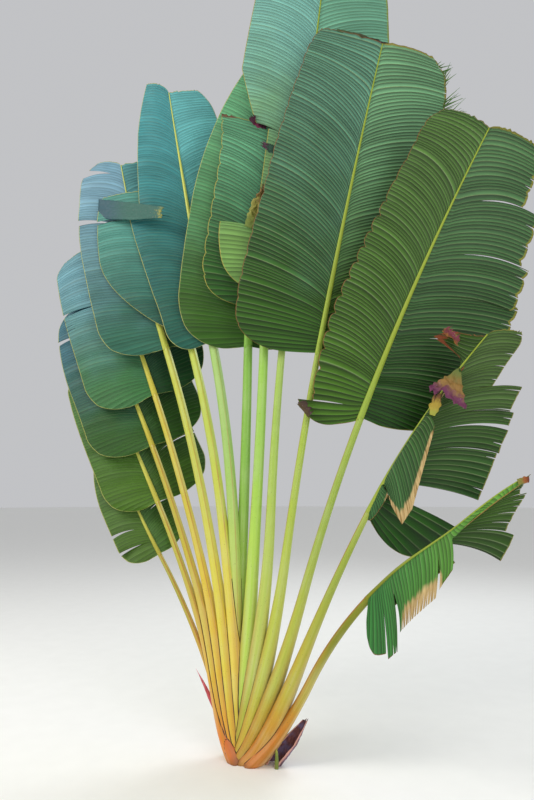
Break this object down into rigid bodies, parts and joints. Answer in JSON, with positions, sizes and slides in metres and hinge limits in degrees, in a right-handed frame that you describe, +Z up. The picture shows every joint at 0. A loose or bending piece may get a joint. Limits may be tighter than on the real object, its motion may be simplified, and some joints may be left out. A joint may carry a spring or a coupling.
{
  "type": "travellers palm",
  "caption": "Tall trunkless palm-like plant: a flat fan of long stalks whose sheaths braid at the foot, each ending in a large paddle-shaped blade, some of them torn.",
  "frame": {"origin": "middle of the stem's flat cut at ground level", "axes": "+Z up; the fan of leaves stands in the XZ plane; the blades' under sides face -Y"},
  "size_m": [3.4044, 0.5825, 5.2291],
  "materials": {
    "stem": "fibrous brown foot, matt",
    "stalk": "smooth waxy skin, yellow green to orange at the sheath, satin",
    "blade": "ribbed leaf, semi-gloss, with a light midrib and a thin yellow to brown margin",
    "dry_sheath": "dry papery purple-brown sheath, matt",
    "shoot": "young red to green shoot, satin"
  },
  "bodies": {
    "root": {"stem": "stem", "stalk_left_1": "stalk", "stalk_left_2": "stalk", "stalk_left_3": "stalk", "stalk_left_4": "stalk", "stalk_left_5": "stalk", "stalk_left_6": "stalk", "stalk_left_7": "stalk", "stalk_right_1": "stalk", "stalk_right_2": "stalk", "stalk_right_3": "stalk", "stalk_right_4": "stalk", "stalk_right_5": "stalk", "stalk_right_6": "stalk", "stalk_right_7": "stalk", "blade_left_1": "blade", "blade_left_2": "blade", "blade_left_3": "blade", "blade_left_4": "blade", "blade_left_5": "blade", "blade_left_6": "blade", "blade_left_7": "blade", "blade_right_1": "blade", "blade_right_2": "blade", "blade_right_3": "blade", "blade_right_4": "blade", "blade_right_5": "blade", "blade_right_6": "blade", "blade_right_7": "blade", "dry_sheath": "dry_sheath", "shoot_left": "shoot", "shoot_right": "shoot"}
  },
  "joints": []
}
